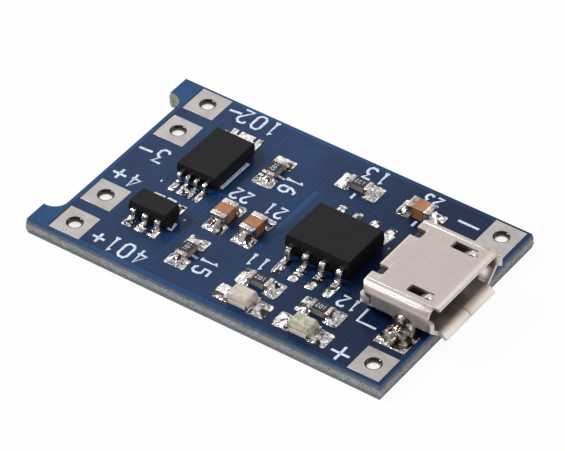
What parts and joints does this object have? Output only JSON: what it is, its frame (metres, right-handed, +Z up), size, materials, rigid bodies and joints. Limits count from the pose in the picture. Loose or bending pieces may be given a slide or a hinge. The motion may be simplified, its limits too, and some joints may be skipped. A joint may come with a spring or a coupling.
{
  "type": "lithium battery charger module",
  "caption": "Small blue circuit board with a micro-USB socket, charger, protection and transistor chips, indicator lamps and plated wire terminals.",
  "frame": {"origin": "middle of the board's underside, halfway between its two ends and its two long sides", "axes": "+X along the board from the battery and output end to the socket end, +Y across it towards the output-minus side, +Z up out of the component side"},
  "size_m": [0.0279, 0.0172, 0.0038],
  "materials": {
    "masked_laminate": "glass-epoxy laminate with blue solder mask, semi-gloss",
    "tinned_copper": "tinned copper, satin",
    "black_epoxy": "moulded black epoxy, matt",
    "tinned_lead": "tin-plated leads, satin",
    "black_glaze": "black glaze over a ceramic chip, with tinned ends",
    "brown_ceramic": "fired brown ceramic, with tinned ends",
    "white_laminate": "white lamp base",
    "clear_resin": "clear moulded resin over a lamp chip",
    "nickel_plate": "nickel-plated sheet, satin",
    "black_nylon": "moulded black nylon",
    "gold_plate": "gold flash on sprung contacts"
  },
  "bodies": {
    "root": {"circuit_board": "masked_laminate", "output_minus_terminal": "tinned_copper", "battery_minus_terminal": "tinned_copper", "battery_plus_terminal": "tinned_copper", "output_plus_terminal": "tinned_copper", "input_plus_terminal": "tinned_copper", "input_minus_terminal": "tinned_copper", "charger_chip_body": "black_epoxy", "charger_chip_lead_1": "tinned_lead", "charger_chip_lead_2": "tinned_lead", "charger_chip_lead_3": "tinned_lead", "charger_chip_lead_4": "tinned_lead", "charger_chip_lead_5": "tinned_lead", "charger_chip_lead_6": "tinned_lead", "charger_chip_lead_7": "tinned_lead", "charger_chip_lead_8": "tinned_lead", "switch_chip_body": "black_epoxy", "switch_chip_lead_1": "tinned_lead", "switch_chip_lead_2": "tinned_lead", "switch_chip_lead_3": "tinned_lead", "switch_chip_lead_4": "tinned_lead", "switch_chip_lead_5": "tinned_lead", "switch_chip_lead_6": "tinned_lead", "switch_chip_lead_7": "tinned_lead", "switch_chip_lead_8": "tinned_lead", "guard_chip_body": "black_epoxy", "guard_chip_lead_1": "tinned_lead", "guard_chip_lead_2": "tinned_lead", "guard_chip_lead_3": "tinned_lead", "guard_chip_lead_4": "tinned_lead", "guard_chip_lead_5": "tinned_lead", "guard_chip_lead_6": "tinned_lead", "lamp_resistor_1": "black_glaze", "lamp_resistor_2": "black_glaze", "current_resistor": "black_glaze", "sense_resistor": "black_glaze", "supply_resistor": "black_glaze", "guard_capacitor": "brown_ceramic", "battery_capacitor": "brown_ceramic", "input_capacitor": "brown_ceramic", "charging_lamp_base": "white_laminate", "charging_lamp_lens": "clear_resin", "ready_lamp_base": "white_laminate", "ready_lamp_lens": "clear_resin", "socket_shell": "nickel_plate", "socket_core": "black_nylon", "socket_contact_1": "gold_plate", "socket_contact_2": "gold_plate", "socket_contact_3": "gold_plate", "socket_contact_4": "gold_plate", "socket_contact_5": "gold_plate"}
  },
  "joints": []
}
